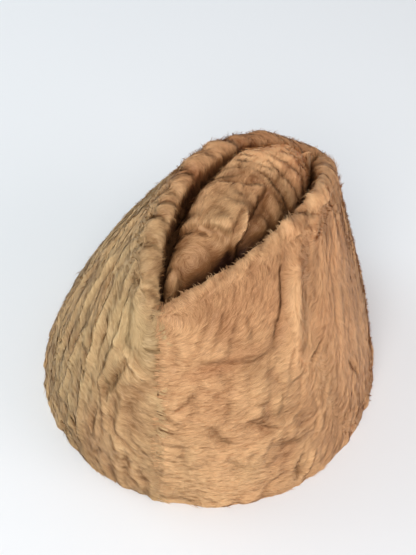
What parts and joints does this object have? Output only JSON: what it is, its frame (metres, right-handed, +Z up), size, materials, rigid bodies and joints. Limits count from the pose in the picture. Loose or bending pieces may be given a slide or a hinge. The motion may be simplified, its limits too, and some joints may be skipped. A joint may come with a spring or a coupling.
{
  "type": "karakul cap",
  "caption": "Boat-shaped cap of short wavy curled lamb pelt, with rolled top edges and a crown folded down into a ridge between them.",
  "frame": {"origin": "centre of the rim, on the plane that the rim rests on", "axes": "+Z up through the crown, -Y toward the front of the cap, +X to the viewer's right when the front is seen"},
  "size_m": [0.1802, 0.204, 0.1346],
  "materials": {
    "pelt_left": "short glossy curled lamb fur, tan with an olive cast",
    "pelt_right": "short glossy curled lamb fur, reddish tan",
    "pelt_crown": "short glossy curled lamb fur, tan"
  },
  "bodies": {
    "root": {"side_panel_left": "pelt_left", "side_panel_right": "pelt_right", "crown": "pelt_crown"}
  },
  "joints": []
}
